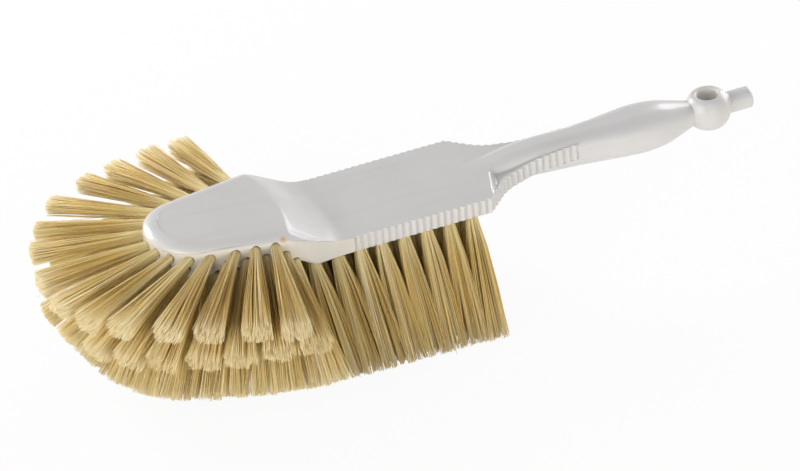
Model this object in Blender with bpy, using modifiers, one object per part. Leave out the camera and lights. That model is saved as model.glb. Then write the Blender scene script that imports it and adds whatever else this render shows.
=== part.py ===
"""A counter brush: one moulded plastic body and its bristle tufts, each rooted in its own hole.

The design frame runs from the nose tip (x = 0) towards the handle, with y = 0 on the middle plane
and z = 0 on the handle's axis, halfway up the ribbed block. An empty carries everything from there
to the final frame: standing on the trimmed bristle tips, centred in length and width. All lengths
are in metres.
"""

import math

import bmesh
import bpy
import numpy as np
from mathutils import Matrix, Vector

# Lengths along the body, from the nose tip
HEAD_LENGTH = 0.175
NOSE_LENGTH = 0.065
HANDLE_LENGTH = 0.1311
PEG_REACH = 0.023

# The head seen from above
NOSE_RADIUS = 0.026
NOSE_TAPER = math.radians(11)
SHOULDER_LENGTH = 0.028
HEAD_WIDTH = 0.0606

# The head seen from the side
BAND_HEIGHT = 0.0087
NOSE_RISE = 0.0136
NOSE_TILT = math.radians(2.5)
NOSE_FLOOR_RISE = 0.0055
CREST_BULGE = 0.005
TOP_SLOPE_LENGTH = 0.034
TOP_SLOPE_POWER = 0.65
FLOOR_SLOPE_START = 0.067
FLOOR_SLOPE_LENGTH = 0.013
NOSE_RIM_RADIUS = 0.004
NOSE_FOOT_RADIUS = 0.0042
BAND_EDGE_RADIUS = 0.0006
EDGE_EASE_SHARE = 0.6
CROWN_SHARES = (0.66, 0.33, 0.0)

# The neck: a flat flange whose outline draws in to the waist of the handle
NECK_LENGTH = 0.056
WAIST_WIDTH = 0.0216
NECK_PLACE_SHARES = (0.10, 0.205, 0.30, 0.40, 0.48, 0.64, 0.82, 1.0)
NECK_SPREAD_SHARES = (0.71, 0.41, 0.235, 0.135, 0.07, 0.02, 0.01, 0.03)
SCOOP_PLACE = 0.014
SCOOP_OFFSET = 0.0175
SCOOP_DEPTH = 0.0019
SCOOP_RADII = (0.0135, 0.0105, 0.009)

# The handle, a loft of rounded sections: its fullest section, and each station's place from the
# block's rear corners and size as shares of the handle's length and fullest size
HANDLE_WIDTH = 0.028
HANDLE_THICKNESS = 0.021
HANDLE_SQUARENESS = 2.5
HANDLE_PLACE_SHARES = (-0.04, 0.03, 0.08, 0.14, 0.20, 0.28, 0.38, 0.47, 0.56, 0.64,
                       0.72, 0.77, 0.81, 0.845, 0.88, 0.91, 0.94)
HANDLE_WIDTH_SHARES = (0.50, 0.54, 0.58, 0.64, 0.69, 0.735, 0.765, 0.82, 0.90, 0.975,
                       1.0, 0.955, 0.87, 0.745, 0.62, 0.53, 0.46)
HANDLE_TOP_SHARES = (0.32, 0.46, 0.58, 0.77, 0.88, 0.945, 0.95, 0.95, 0.97, 0.99,
                     1.0, 0.965, 0.90, 0.80, 0.70, 0.61, 0.53)
HANDLE_FLOOR_SHARES = (0.30, 0.34, 0.40, 0.48, 0.58, 0.70, 0.83, 0.92, 0.97, 0.99,
                       1.0, 0.965, 0.90, 0.80, 0.70, 0.61, 0.53)

# The hanging ball and the peg behind it
BALL_RADIUS = 0.01165
BALL_FLAT_RADIUS = 0.0078
BORE_RADIUS = 0.00535
PEG_RADIUS = 0.00555
PEG_CHAMFER = 0.001

# The ribs: grooves down the band, from the block to the end of the neck
RIB_PITCH = 0.0038
RIB_START = 0.1004
GROOVE_RADIUS = 0.0011
GROOVE_DEPTH = 0.0007
GROOVE_LAND = 0.0006

# The tufts
BRISTLE_LENGTH = 0.0605
STAND_HEIGHT = 0.0605
ROOT_RADIUS = 0.0021
ROOT_DEPTH = 0.0058
ROOT_PROUD = 0.0006
TIP_SPREAD = 0.0029
TIP_HALF_SIDE = 0.0026
ROOT_SPREAD = 0.00066
ROOT_HALF_SIDE = 0.00046
CLEARANCE = 0.0003
OVERRUN = 0.003
HOLE_SIDES = 6
STRAND_SIDES = 4
HOLE_ROLL = math.pi / HOLE_SIDES
STEEP_SHARE = 0.9

# Tufts round the nose: the pitch along the wall, and each row's height and number of pairs
TUFT_PITCH = 0.0102
UPPER_ROW_HEIGHT = 0.0145
MIDDLE_ROW_HEIGHT = 0.0088
LOWER_ROW_HEIGHT = 0.0031
UPPER_PAIRS = 7
MIDDLE_PAIRS = 8
LOWER_PAIRS = 8

# Directions in degrees, one value for each pitch step away from the nose tip. A bearing is the
# turn away from straight ahead, and a dip is the fall below the level. The near side's bristles
# have taken a set towards the nose, as they do in use, so the two sides differ.
NEAR_BEARINGS = (0, 18, 31, 38, 46, 56, 67, 77, 87, 90)
FAR_BEARINGS = (0, 18, 36, 53, 66, 75, 83, 89, 93, 95)
UPPER_NEAR_DIPS = (2, 5, 6, 8, 11, 14, 15, 14, 14)
UPPER_FAR_DIPS = (4, 9, 13, 13, 12, 12, 13, 14, 14)
MIDDLE_DIPS = (28, 29, 30, 30, 29, 28, 27, 25, 24, 24)
LOWER_DIPS = (55, 56, 57, 57, 56, 55, 54, 53, 50, 50)

# The straight rows under the block, and the rows under the nose
STRAIGHT_PITCH = 0.0125
STRAIGHT_REAR_MARGIN = 0.010
STRAIGHT_EDGE_MARGIN = 0.0045
STRAIGHT_FRONT_MARGIN = 0.010
STRAIGHT_ROWS = 5
STRAIGHT_SPLAY = math.radians(15)
STRAIGHT_REAR_LEAN = math.radians(4.5)
STRAIGHT_FRONT_LEAN = math.radians(9)
UNDER_PITCH = 0.0125
UNDER_FIRST = 0.030
UNDER_OFFSET = 0.010
UNDER_COUNT = 3
UNDER_SPLAY = math.radians(7)
UNDER_LEAN = math.radians(-5)
STRIP_WIDTH = 0.005
STRIP_DEPTH = 0.0016

# How finely the curves are cut, and how close two points are before they count as one
ARC_POINTS = 7
FLANK_POINTS = 5
SHOULDER_POINTS = 9
BLOCK_POINTS = 4
HANDLE_SIDES = 20
BALL_ARC_POINTS = 9
BALL_SIDES = 24
PEG_SIDES = 16
BORE_SIDES = 24
GROOVE_SIDES = 6
SCOOP_SIDES = 20
SCOOP_RINGS = 14
MERGE_DISTANCE = 0.00001
SHARP_ANGLE = math.radians(32)
BODY_COLOUR = (0.86, 0.83, 0.77, 1.0)
BODY_ROUGHNESS = 0.3
BRISTLE_COLOUR = (0.66, 0.50, 0.24, 1.0)
BRISTLE_ROUGHNESS = 0.6

HALF_BAND = BAND_HEIGHT / 2
HALF_WIDTH = HEAD_WIDTH / 2
CORNER_SHARE = 1 - math.sqrt(0.5)
FOOT_INSET = NOSE_FOOT_RADIUS * CORNER_SHARE
ARC_TURN = math.pi / 2 - NOSE_TAPER
FLANK_X = NOSE_RADIUS * (1 - math.cos(ARC_TURN))
FLANK_Y = NOSE_RADIUS * math.sin(ARC_TURN)
SHOULDER_END = NOSE_LENGTH + SHOULDER_LENGTH
TOP_SLOPE_END = NOSE_LENGTH + TOP_SLOPE_LENGTH
TRIM_HEIGHT = -HALF_BAND - STAND_HEIGHT
BALL_PLACE = HEAD_LENGTH + HANDLE_LENGTH
BODY_LENGTH = BALL_PLACE + PEG_REACH


def clear_scene():
    for old in list(bpy.data.objects):
        bpy.data.objects.remove(old)


def new_collection(name):
    group = bpy.data.collections.new(name)
    bpy.context.scene.collection.children.link(group)
    return group


def plastic(name, colour, roughness):
    """A plain dielectric finish."""
    material = bpy.data.materials.new(name)
    material.use_nodes = True
    shader = material.node_tree.nodes["Principled BSDF"]
    shader.inputs["Base Color"].default_value = colour
    shader.inputs["Roughness"].default_value = roughness
    shader.inputs["Metallic"].default_value = 0.0
    return material


def object_of(name, faces, material, group):
    """A mesh object from a bmesh, shaded smooth but for its sharp edges, on the brush's origin."""
    mesh = bpy.data.meshes.new(name)
    faces.to_mesh(mesh)
    faces.free()
    mesh.shade_smooth()
    mesh.set_sharp_from_angle(angle=SHARP_ANGLE)
    made = bpy.data.objects.new(name, mesh)
    made.parent = ORIGIN
    if material:
        mesh.materials.append(material)
    group.objects.link(made)
    return made


def as_helper(made):
    made.hide_render = True
    made.display_type = "WIRE"
    return made


def combine(target, other, operation):
    step = target.modifiers.new(f"{operation.lower()}_{other.name}", "BOOLEAN")
    step.operation = operation
    step.object = other
    step.solver = "EXACT"


def fall(share):
    """An S-curve from 1 down to 0 as the share goes from 0 to 1."""
    share = min(max(share, 0.0), 1.0)
    return 1 - 3 * share**2 + 2 * share**3


# The head's outline, half of it


def head_half_width(x):
    """Half the head's width behind the nose's arc: the flank, the shoulder's S-curve and the block."""
    flank = FLANK_Y + (min(x, NOSE_LENGTH) - FLANK_X) * math.tan(NOSE_TAPER)
    share = min(max((x - NOSE_LENGTH) / SHOULDER_LENGTH, 0.0), 1.0)
    return HALF_WIDTH + (flank - HALF_WIDTH) * (1 + math.cos(math.pi * share)) / 2


def neck_half_width(x):
    """Half the flange's width behind the rear corners."""
    share = (x - HEAD_LENGTH) / NECK_LENGTH
    spread = np.interp(share, (0.0, *NECK_PLACE_SHARES), (1.0, *NECK_SPREAD_SHARES))
    return WAIST_WIDTH / 2 + (HALF_WIDTH - WAIST_WIDTH / 2) * spread


def outline_points():
    """Half the plan outline from the nose tip to the end of the neck, as (x, y) pairs."""
    turns = np.linspace(0, ARC_TURN, ARC_POINTS)
    arc = [(NOSE_RADIUS * (1 - math.cos(turn)), NOSE_RADIUS * math.sin(turn)) for turn in turns]
    stations = [
        *np.linspace(FLANK_X, NOSE_LENGTH, FLANK_POINTS)[1:],
        *np.linspace(NOSE_LENGTH, SHOULDER_END, SHOULDER_POINTS)[1:],
        *np.linspace(SHOULDER_END, HEAD_LENGTH, BLOCK_POINTS)[1:],
    ]
    head = [(x, head_half_width(x)) for x in stations]
    neck_stations = [HEAD_LENGTH + share * NECK_LENGTH for share in NECK_PLACE_SHARES]
    neck = [(x, neck_half_width(x)) for x in neck_stations]
    return np.array(arc + head + neck)


def outline_normals(points):
    """The outward direction at each outline point, square to the mean of its two edges."""
    ahead = np.diff(np.vstack([points, 2 * points[-1] - points[-2]]), axis=0)
    behind = np.diff(np.vstack([points[1] * (1, -1), points]), axis=0)
    along = ahead / np.linalg.norm(ahead, axis=1)[:, None]
    along += behind / np.linalg.norm(behind, axis=1)[:, None]
    along /= np.linalg.norm(along, axis=1)[:, None]
    return np.column_stack([-along[:, 1], along[:, 0]])


def outline_distances(points):
    """How far round from the nose tip each outline point is."""
    steps = np.linalg.norm(np.diff(points, axis=0), axis=1)
    return np.concatenate([[0.0], np.cumsum(steps)])


def point_along(distance):
    """The outline's point and outward direction this far round from the nose tip."""
    points = outline_points()
    travelled = outline_distances(points)
    x, y = (np.interp(distance, travelled, column) for column in points.T)
    normal = [np.interp(distance, travelled, column) for column in outline_normals(points).T]
    return x, y, Vector(normal).normalized()


# The head's heights


def top_height(x, across):
    """The top face's height at x, at this share of the half width away from the middle."""
    crest = NOSE_LENGTH + CREST_BULGE * (1 - across**2)
    rise = NOSE_RISE + max(NOSE_LENGTH - x, 0.0) * math.tan(NOSE_TILT)
    share = min(max((x - crest) / (TOP_SLOPE_END - crest), 0.0), 1.0)
    return HALF_BAND + rise * fall(share**TOP_SLOPE_POWER)


def floor_height(x):
    share = (x - FLOOR_SLOPE_START) / FLOOR_SLOPE_LENGTH
    return -HALF_BAND + NOSE_FLOOR_RISE * fall(share)


def edge_radius(nose_radius, x):
    """The edge's radius: the nose's own, easing to the band's along the slope."""
    share = fall((x - NOSE_LENGTH) / (TOP_SLOPE_LENGTH * EDGE_EASE_SHARE))
    return BAND_EDGE_RADIUS + (nose_radius - BAND_EDGE_RADIUS) * share


def head_section(point, normal):
    """Half a cross-section at an outline point: floor, foot, wall, rim and top, as 3-D points."""
    x, y = point
    foot = edge_radius(NOSE_FOOT_RADIUS, x)
    rim = edge_radius(NOSE_RIM_RADIUS, x)
    floor = floor_height(x)
    top = top_height(x, 1.0)
    levels = [
        (foot, floor),
        (foot * CORNER_SHARE, floor + foot * CORNER_SHARE),
        (0.0, floor + foot),
        (0.0, top - rim),
        (rim * CORNER_SHARE, top - rim * CORNER_SHARE),
        (rim, top),
    ]
    edge = [(x - inset * normal[0], max(y - inset * normal[1], 0.0), z) for inset, z in levels]
    inner_x, inner_y, _ = edge[-1]
    reach = inner_y / max(y, BAND_EDGE_RADIUS)
    crown = [(inner_x, inner_y * share, top_height(inner_x, reach * share)) for share in CROWN_SHARES]
    return [(edge[0][0], 0.0, floor), *edge, *crown]


def head_form(material, group):
    """The nose, block and flange: a loft of unlike half sections, mirrored at the middle plane."""
    points = outline_points()
    sections = [head_section(p, n) for p, n in zip(points, outline_normals(points))]
    faces = bmesh.new()
    grid = [[faces.verts.new(point) for point in section] for section in sections]
    for section, following in zip(grid, grid[1:]):
        for j in range(len(section) - 1):
            faces.faces.new((section[j], section[j + 1], following[j + 1], following[j]))
    faces.faces.new(grid[-1])
    bmesh.ops.remove_doubles(faces, verts=faces.verts, dist=MERGE_DISTANCE)
    bmesh.ops.triangulate(faces, faces=faces.faces)
    made = object_of("brush_body", faces, material, group)
    mirror = made.modifiers.new("other_half", "MIRROR")
    mirror.use_axis = (False, True, False)
    mirror.merge_threshold = MERGE_DISTANCE
    return made


# The handle, ball and peg


def handle_section(x, half_width, top, floor):
    """A superellipse whose upper and lower halves have their own heights."""
    turns = np.arange(HANDLE_SIDES) * 2 * math.pi / HANDLE_SIDES
    power = 2 / HANDLE_SQUARENESS
    y = half_width * np.sign(np.cos(turns)) * np.abs(np.cos(turns)) ** power
    rise = np.sign(np.sin(turns)) * np.abs(np.sin(turns)) ** power
    z = np.where(rise > 0, top * rise, floor * rise)
    return [(x, a, b) for a, b in zip(y, z)]


def handle_form(group):
    """The spindle from inside the block to inside the ball, a loft of rounded sections."""
    stations = zip(HANDLE_PLACE_SHARES, HANDLE_WIDTH_SHARES, HANDLE_TOP_SHARES, HANDLE_FLOOR_SHARES)
    faces = bmesh.new()
    rings = []
    for place, width, top, floor in stations:
        section = handle_section(
            HEAD_LENGTH + place * HANDLE_LENGTH,
            width * HANDLE_WIDTH / 2,
            top * HANDLE_THICKNESS / 2,
            floor * HANDLE_THICKNESS / 2,
        )
        rings.append([faces.verts.new(point) for point in section])
    for ring, following in zip(rings, rings[1:]):
        for j in range(len(ring)):
            k = (j + 1) % len(ring)
            faces.faces.new((ring[j], ring[k], following[k], following[j]))
    faces.faces.new(rings[0])
    faces.faces.new(rings[-1])
    bmesh.ops.recalc_face_normals(faces, faces=faces.faces)
    bmesh.ops.triangulate(faces, faces=faces.faces)
    return as_helper(object_of("handle_form", faces, None, group))


def turned(name, profile, steps, group):
    """A solid of revolution about z: the profile runs from the axis, down the outside, to the axis."""
    faces = bmesh.new()
    corners = [faces.verts.new((radius, 0.0, z)) for radius, z in profile]
    for one, other in zip(corners, corners[1:]):
        faces.edges.new((one, other))
    made = object_of(name, faces, None, group)
    screw = made.modifiers.new("turn", "SCREW")
    screw.axis = "Z"
    screw.steps = steps
    screw.render_steps = steps
    screw.use_merge_vertices = True
    screw.merge_threshold = MERGE_DISTANCE
    return as_helper(made)


def ball_form(group):
    """The hanging ball: a sphere cut flat above and below."""
    flat = math.asin(BALL_FLAT_RADIUS / BALL_RADIUS)
    turns = np.linspace(flat, math.pi - flat, BALL_ARC_POINTS)
    arc = [(BALL_RADIUS * math.sin(turn), BALL_RADIUS * math.cos(turn)) for turn in turns]
    profile = [(0.0, arc[0][1]), *arc, (0.0, arc[-1][1])]
    made = turned("ball_form", profile, BALL_SIDES, group)
    made.location = (BALL_PLACE, 0.0, 0.0)
    return made


def peg_form(group):
    """The short peg behind the ball, chamfered at its end."""
    profile = [
        (0.0, PEG_REACH),
        (PEG_RADIUS - PEG_CHAMFER, PEG_REACH),
        (PEG_RADIUS, PEG_REACH - PEG_CHAMFER),
        (PEG_RADIUS, BALL_RADIUS / 2),
        (0.0, BALL_RADIUS / 2),
    ]
    made = turned("peg_form", profile, PEG_SIDES, group)
    made.location = (BALL_PLACE, 0.0, 0.0)
    made.rotation_euler = (0.0, math.pi / 2, 0.0)
    return made


# What is cut from the body


def level_axes(direction):
    """Two directions square to this one and to each other, the first as level as it can be."""
    reference = Vector((1.0, 0.0, 0.0)) if abs(direction.z) > STEEP_SHARE else Vector((0.0, 0.0, 1.0))
    across = reference.cross(direction).normalized()
    return across, direction.cross(across)


def turn_to(direction):
    """The rotation that takes +Z to this direction."""
    across, up = level_axes(direction)
    return Matrix((across, up, direction)).transposed().to_4x4()


def add_prism(faces, start, end, sides, radius, end_radius=None, roll=0.0):
    """A closed prism from start to end, tapered if it has an end radius, added to the bmesh."""
    run = end - start
    bmesh.ops.create_cone(
        faces,
        cap_ends=True,
        segments=sides,
        radius1=radius,
        radius2=end_radius or radius,
        depth=run.length,
        matrix=Matrix.Translation((start + end) / 2)
        @ turn_to(run.normalized())
        @ Matrix.Rotation(roll, 4, "Z"),
    )


def groove_cutter(group):
    """The grooves between the ribs, both sides, as upright prisms with one edge pointing in."""
    faces = bmesh.new()
    points = outline_points()
    travelled = outline_distances(points)
    first = np.interp(RIB_START, points[:, 0], travelled)
    out = GROOVE_RADIUS - GROOVE_DEPTH
    for distance in np.arange(first, travelled[-1] - RIB_PITCH / 2, RIB_PITCH):
        x, y, normal = point_along(distance)
        for side in (1, -1):
            low = Vector((x + out * normal.x, side * (y + out * normal.y), -HALF_BAND - OVERRUN))
            high = Vector((low.x, low.y, HALF_BAND - GROOVE_LAND))
            roll = math.atan2(side * normal.y, normal.x)
            add_prism(faces, low, high, GROOVE_SIDES, GROOVE_RADIUS, roll=roll)
    return as_helper(object_of("groove_cutter", faces, None, group))


def scoop_cutter(group):
    """The two shallow hollows beside the ridge where the handle leaves the block."""
    faces = bmesh.new()
    for side in (1, -1):
        ball = bmesh.ops.create_uvsphere(
            faces, u_segments=SCOOP_SIDES, v_segments=SCOOP_RINGS, radius=1.0
        )
        height = HALF_BAND - SCOOP_DEPTH + SCOOP_RADII[2]
        centre = Vector((HEAD_LENGTH + SCOOP_PLACE, side * SCOOP_OFFSET, height))
        bmesh.ops.scale(faces, verts=ball["verts"], vec=SCOOP_RADII)
        bmesh.ops.translate(faces, verts=ball["verts"], vec=centre)
    return as_helper(object_of("scoop_cutter", faces, None, group))


def bore_cutter(group):
    faces = bmesh.new()
    middle = Vector((BALL_PLACE, 0.0, 0.0))
    reach = Vector((0.0, 0.0, BALL_RADIUS + OVERRUN))
    add_prism(faces, middle - reach, middle + reach, BORE_SIDES, BORE_RADIUS)
    return as_helper(object_of("bore_cutter", faces, None, group))


# The tufts


def heading(bearing, dip):
    """The direction of a nose tuft. A positive bearing turns from straight ahead to the far side."""
    level = math.cos(math.radians(dip))
    turn = math.radians(bearing)
    return Vector((-level * math.cos(turn), level * math.sin(turn), -math.sin(math.radians(dip))))


def nose_tufts(height, pairs, offset, near_dips, far_dips, inset):
    """(place, direction) of one row round the nose, from the near side's end to the far side's."""
    steps = np.arange(-pairs, pairs) + offset if offset else np.arange(-pairs, pairs + 1)
    row = []
    for step in steps:
        away = abs(step)
        side = 1 if step >= 0 else -1
        bearings = FAR_BEARINGS if side > 0 else NEAR_BEARINGS
        dips = far_dips if side > 0 else near_dips
        bearing = np.interp(away, range(len(bearings)), bearings)
        dip = np.interp(away, range(len(dips)), dips)
        x, y, normal = point_along(away * TUFT_PITCH)
        place = Vector((x - inset * normal.x, side * (y - inset * normal.y), height))
        row.append((place, heading(side * bearing, dip)))
    return row


def straight_rows():
    """The rows under the block, each a list of (place, direction), staggered by half a pitch."""
    rear = HEAD_LENGTH - STRAIGHT_REAR_MARGIN
    room = rear - FLOOR_SLOPE_START - STRAIGHT_FRONT_MARGIN
    steps = int(room / STRAIGHT_PITCH)
    rows = []
    for number in range(STRAIGHT_ROWS):
        across = 2 * number / (STRAIGHT_ROWS - 1) - 1
        stagger = number % 2
        row = []
        for forward in np.arange(stagger / 2, steps + 1 - stagger / 2):
            lean = np.interp(forward, (0, steps), (STRAIGHT_REAR_LEAN, STRAIGHT_FRONT_LEAN))
            x = rear - forward * STRAIGHT_PITCH
            y = across * (HALF_WIDTH - STRAIGHT_EDGE_MARGIN)
            direction = Vector((math.tan(lean), across * math.tan(STRAIGHT_SPLAY), -1.0))
            row.append((Vector((x, y, floor_height(x))), direction.normalized()))
        rows.append(row)
    return rows


def under_rows():
    """The rows under the nose, which carry the front of the brush."""
    rows = []
    for side in (-1, 1):
        direction = Vector((math.tan(UNDER_LEAN), side * math.tan(UNDER_SPLAY), -1.0)).normalized()
        stations = [UNDER_FIRST + k * UNDER_PITCH for k in range(UNDER_COUNT)]
        rows.append([(Vector((x, side * UNDER_OFFSET, floor_height(x))), direction) for x in stations])
    return rows


def add_root(faces, place, direction, reach):
    """The six-sided root that fills a hole, and ends this far outside the body."""
    inner = place - ROOT_DEPTH * direction
    add_prism(faces, inner, place + reach * direction, HOLE_SIDES, ROOT_RADIUS, roll=HOLE_ROLL)


def add_strands(faces, place, direction, length):
    """A tuft's four strands, square and widening, one from each quarter of the root's face."""
    across, up = level_axes(direction)
    base = place - (ROOT_RADIUS - ROOT_PROUD) * direction
    end = place + length * direction
    for a, b in ((1, 1), (-1, 1), (-1, -1), (1, -1)):
        quarter = a * across + b * up
        add_prism(
            faces,
            base + ROOT_SPREAD * quarter,
            end + TIP_SPREAD * quarter,
            STRAND_SIDES,
            math.sqrt(2) * ROOT_HALF_SIDE,
            math.sqrt(2) * TIP_HALF_SIDE,
            math.pi / STRAND_SIDES,
        )


def tuft_mesh(material, helpers):
    """One tuft along +Z from its hole's mouth at the origin: strands that grow out of a root."""
    place, direction = Vector((0.0, 0.0, 0.0)), Vector((0.0, 0.0, 1.0))
    root, strands = bmesh.new(), bmesh.new()
    add_root(root, place, direction, ROOT_PROUD)
    add_strands(strands, place, direction, BRISTLE_LENGTH)
    made = as_helper(object_of("tuft_form", root, material, helpers))
    combine(made, as_helper(object_of("tuft_strands", strands, None, helpers)), "UNION")
    graph = bpy.context.evaluated_depsgraph_get()
    return bpy.data.meshes.new_from_object(made.evaluated_get(graph))


def tuft(name, place, direction, mesh, group):
    """One tuft of the nose in its place."""
    made = bpy.data.objects.new(name, mesh)
    made.parent = ORIGIN
    made.matrix_local = Matrix.Translation(place) @ turn_to(direction)
    group.objects.link(made)


def add_strip(faces, row, clearance, below):
    """The slice of backing that joins a row's roots, or with a clearance the slot it lies in."""
    stations = [place.x for place, _ in row]
    start, end = min(stations), max(stations)
    width = STRIP_WIDTH + 2 * clearance
    height = STRIP_DEPTH + clearance + below
    block = bmesh.ops.create_cube(faces, size=1.0)
    bmesh.ops.scale(faces, verts=block["verts"], vec=(end - start + width, width, height))
    middle = ((start + end) / 2, row[0][0].y, row[0][0].z - below + height / 2)
    bmesh.ops.translate(faces, verts=block["verts"], vec=middle)


def tuft_row(name, row, material, trim, group, helpers):
    """A row of tufts whose roots are joined by a slice of backing, trimmed to the stand height."""
    strip, roots, strands = bmesh.new(), bmesh.new(), bmesh.new()
    add_strip(strip, row, 0.0, 0.0)
    for place, direction in row:
        add_root(roots, place, direction, -STRIP_DEPTH / 2)
        add_strands(strands, place, direction, (TRIM_HEIGHT - OVERRUN - place.z) / direction.z)
    made = object_of(name, strip, material, group)
    combine(made, as_helper(object_of(f"{name}_roots", roots, None, helpers)), "UNION")
    combine(made, as_helper(object_of(f"{name}_strands", strands, None, helpers)), "UNION")
    combine(made, trim, "DIFFERENCE")


def trim_cutter(group):
    """The block below the trimmed tips, which leaves the straight rows flat where they stand."""
    faces = bmesh.new()
    block = bmesh.ops.create_cube(faces, size=1.0)
    depth = 4 * OVERRUN
    bmesh.ops.scale(faces, verts=block["verts"], vec=(2 * HEAD_LENGTH, 4 * HEAD_WIDTH, depth))
    bmesh.ops.translate(faces, verts=block["verts"], vec=(HEAD_LENGTH / 2, 0.0, TRIM_HEIGHT - depth / 2))
    return as_helper(object_of("trim_cutter", faces, None, group))


def slot_cutter(rows, group):
    """The slots that the rows' slices of backing lie in."""
    faces = bmesh.new()
    for row in rows:
        add_strip(faces, row, CLEARANCE, OVERRUN)
    return as_helper(object_of("slot_cutter", faces, None, group))


def hole_cutter(tufts, group):
    """Every tuft's blind hole, with the clearance all round its root."""
    radius = ROOT_RADIUS + CLEARANCE / math.cos(math.pi / HOLE_SIDES)
    faces = bmesh.new()
    for place, direction in tufts:
        inner = place - (ROOT_DEPTH + CLEARANCE) * direction
        add_prism(faces, inner, place + OVERRUN * direction, HOLE_SIDES, radius, roll=HOLE_ROLL)
    return as_helper(object_of("hole_cutter", faces, None, group))


def settle(group):
    """Stands the brush on z = 0, centred in length and width, by moving the origin empty."""
    bpy.context.view_layer.update()
    graph = bpy.context.evaluated_depsgraph_get()
    points = []
    for made in group.objects:
        if made.type == "MESH":
            evaluated = made.evaluated_get(graph)
            points += [made.matrix_world @ corner.co for corner in evaluated.data.vertices]
    low, high = np.min(points, axis=0), np.max(points, axis=0)
    ORIGIN.location = (-(low[0] + high[0]) / 2, -(low[1] + high[1]) / 2, -low[2])


clear_scene()
parts = new_collection("counter_brush")
helpers = new_collection("cutters_and_forms")
ORIGIN = bpy.data.objects.new("brush_origin", None)
parts.objects.link(ORIGIN)
body_plastic = plastic("ivory_gloss_plastic", BODY_COLOUR, BODY_ROUGHNESS)
bristle_fibre = plastic("straw_bristle", BRISTLE_COLOUR, BRISTLE_ROUGHNESS)

nose_rows = {
    "upper_tuft": nose_tufts(UPPER_ROW_HEIGHT, UPPER_PAIRS, 0.0, UPPER_NEAR_DIPS, UPPER_FAR_DIPS, 0.0),
    "middle_tuft": nose_tufts(MIDDLE_ROW_HEIGHT, MIDDLE_PAIRS, 0.5, MIDDLE_DIPS, MIDDLE_DIPS, 0.0),
    "lower_tuft": nose_tufts(LOWER_ROW_HEIGHT, LOWER_PAIRS, 0.0, LOWER_DIPS, LOWER_DIPS, FOOT_INSET),
}
straight_tuft_rows = {
    **{f"block_tuft_row_{number}": row for number, row in enumerate(straight_rows(), 1)},
    **{f"under_nose_tuft_row_{number}": row for number, row in enumerate(under_rows(), 1)},
}
every_row = [*nose_rows.values(), *straight_tuft_rows.values()]
every_tuft = [entry for row in every_row for entry in row]

body = head_form(body_plastic, parts)
for operation, other in (
    ("DIFFERENCE", hole_cutter(every_tuft, helpers)),
    ("DIFFERENCE", slot_cutter(straight_tuft_rows.values(), helpers)),
    ("UNION", handle_form(helpers)),
    ("UNION", ball_form(helpers)),
    ("UNION", peg_form(helpers)),
    ("DIFFERENCE", scoop_cutter(helpers)),
    ("DIFFERENCE", groove_cutter(helpers)),
    ("DIFFERENCE", bore_cutter(helpers)),
):
    combine(body, other, operation)

single_tuft = tuft_mesh(bristle_fibre, helpers)
for row_name, row in nose_rows.items():
    for number, (place, direction) in enumerate(row, 1):
        tuft(f"{row_name}_{number:02d}", place, direction, single_tuft, parts)

trim = trim_cutter(helpers)
for row_name, row in straight_tuft_rows.items():
    tuft_row(row_name, row, bristle_fibre, trim, parts, helpers)
settle(parts)
print(f"{len(every_tuft)} tufts, origin at {tuple(ORIGIN.location)}")
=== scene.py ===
# %% [markdown]
# # A counter brush, dressed
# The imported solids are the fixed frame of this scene. A counter brush has one moulded plastic
# body and about ninety bristle tufts, and each tuft sits in its own hole. The lesson builds the
# body as one smooth surface, grows every tuft from its solid, and lights both on a pale studio
# floor.

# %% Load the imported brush
import math

import bmesh
import bpy
import numpy as np
from mathutils import Matrix, Vector


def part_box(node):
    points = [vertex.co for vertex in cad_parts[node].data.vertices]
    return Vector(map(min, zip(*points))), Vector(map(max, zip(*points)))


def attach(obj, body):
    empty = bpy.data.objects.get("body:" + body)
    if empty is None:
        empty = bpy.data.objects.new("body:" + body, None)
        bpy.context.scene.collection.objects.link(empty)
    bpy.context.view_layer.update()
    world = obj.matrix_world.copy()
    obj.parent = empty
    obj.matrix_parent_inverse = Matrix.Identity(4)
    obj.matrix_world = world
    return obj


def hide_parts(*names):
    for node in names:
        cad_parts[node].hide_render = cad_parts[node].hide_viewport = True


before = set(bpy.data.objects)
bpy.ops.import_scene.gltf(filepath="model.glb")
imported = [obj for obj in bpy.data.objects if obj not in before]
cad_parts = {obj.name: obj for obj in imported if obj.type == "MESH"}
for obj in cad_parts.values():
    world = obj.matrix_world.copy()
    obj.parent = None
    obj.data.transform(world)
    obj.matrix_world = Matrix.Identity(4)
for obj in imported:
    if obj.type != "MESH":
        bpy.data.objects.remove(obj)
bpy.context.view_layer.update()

MM = 0.001
print(len(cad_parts), "nodes loaded")

# %% [markdown]
# ## The body's sizes
# The body is a long loft. Its outline from above is a round nose, a shoulder that draws in, a
# straight block and a neck that runs down to the handle. These are the sizes of the solids,
# written again here, because the smooth body has to lie where the faceted one does. Distances
# along the brush start at the nose tip, and heights start at the handle's axis.

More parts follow.
